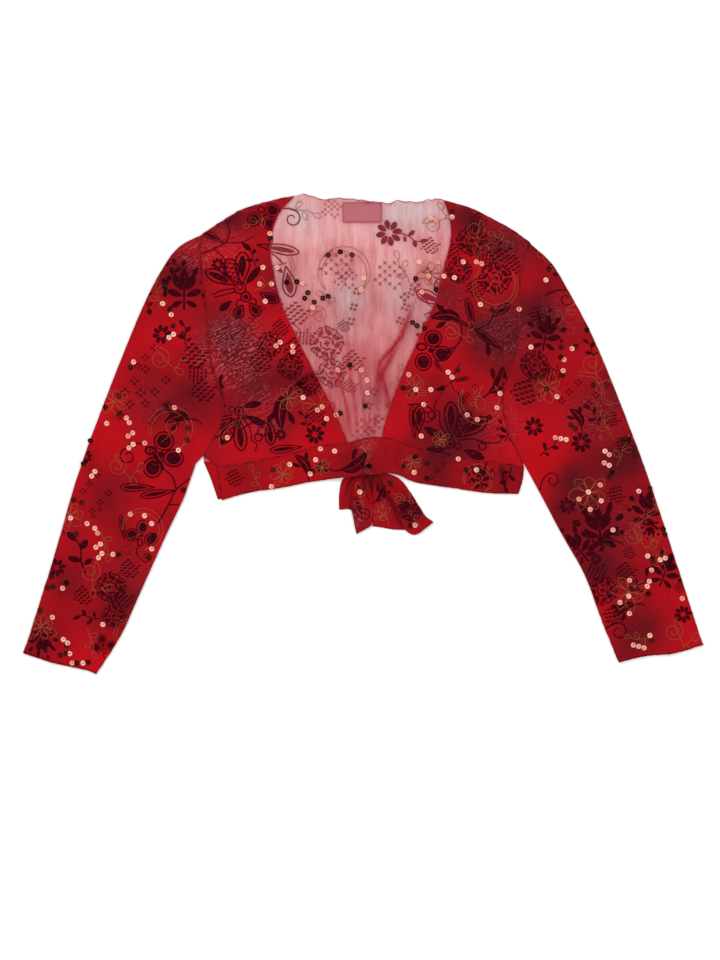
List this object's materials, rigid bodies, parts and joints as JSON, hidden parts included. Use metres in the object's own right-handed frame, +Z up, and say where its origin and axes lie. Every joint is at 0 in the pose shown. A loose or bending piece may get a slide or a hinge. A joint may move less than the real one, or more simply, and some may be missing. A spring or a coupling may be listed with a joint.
{
  "type": "sequin bolero jacket",
  "caption": "Short sheer mesh jacket with a deep V front, long sleeves and a band tied behind, laid out flat, with flocked flowers, stitched scrolls and sequins.",
  "frame": {"origin": "middle of the laid-out garment, on the surface that it lies on", "axes": "+X to the viewer's right, along the spread of the sleeves; +Y towards the neck; +Z up, out of the surface"},
  "size_m": [0.8646, 0.61, 0.0089],
  "materials": {
    "back_mesh": "sheer red stretch mesh with fine vertical ribs, seen pink over a pale surface",
    "front_mesh": "sheer red stretch mesh with soft maroon blotches, flocked flowers, thread scrolls and sequins",
    "sleeve_mesh": "sheer red stretch mesh in two layers, with flocked flowers, thread scrolls and sequins",
    "band_mesh": "red stretch mesh, doubled, with rolled edges",
    "label_satin": "plain rose satin, left bare"
  },
  "bodies": {
    "root": {"back_panel": "back_mesh", "right_front": "front_mesh", "left_front": "front_mesh", "right_sleeve": "sleeve_mesh", "left_sleeve": "sleeve_mesh", "front_band": "band_mesh", "back_band_right": "band_mesh", "back_band_left": "band_mesh", "tie_knot": "band_mesh", "tie_tail_right": "band_mesh", "tie_tail_left": "band_mesh", "neck_label": "label_satin"}
  },
  "joints": []
}
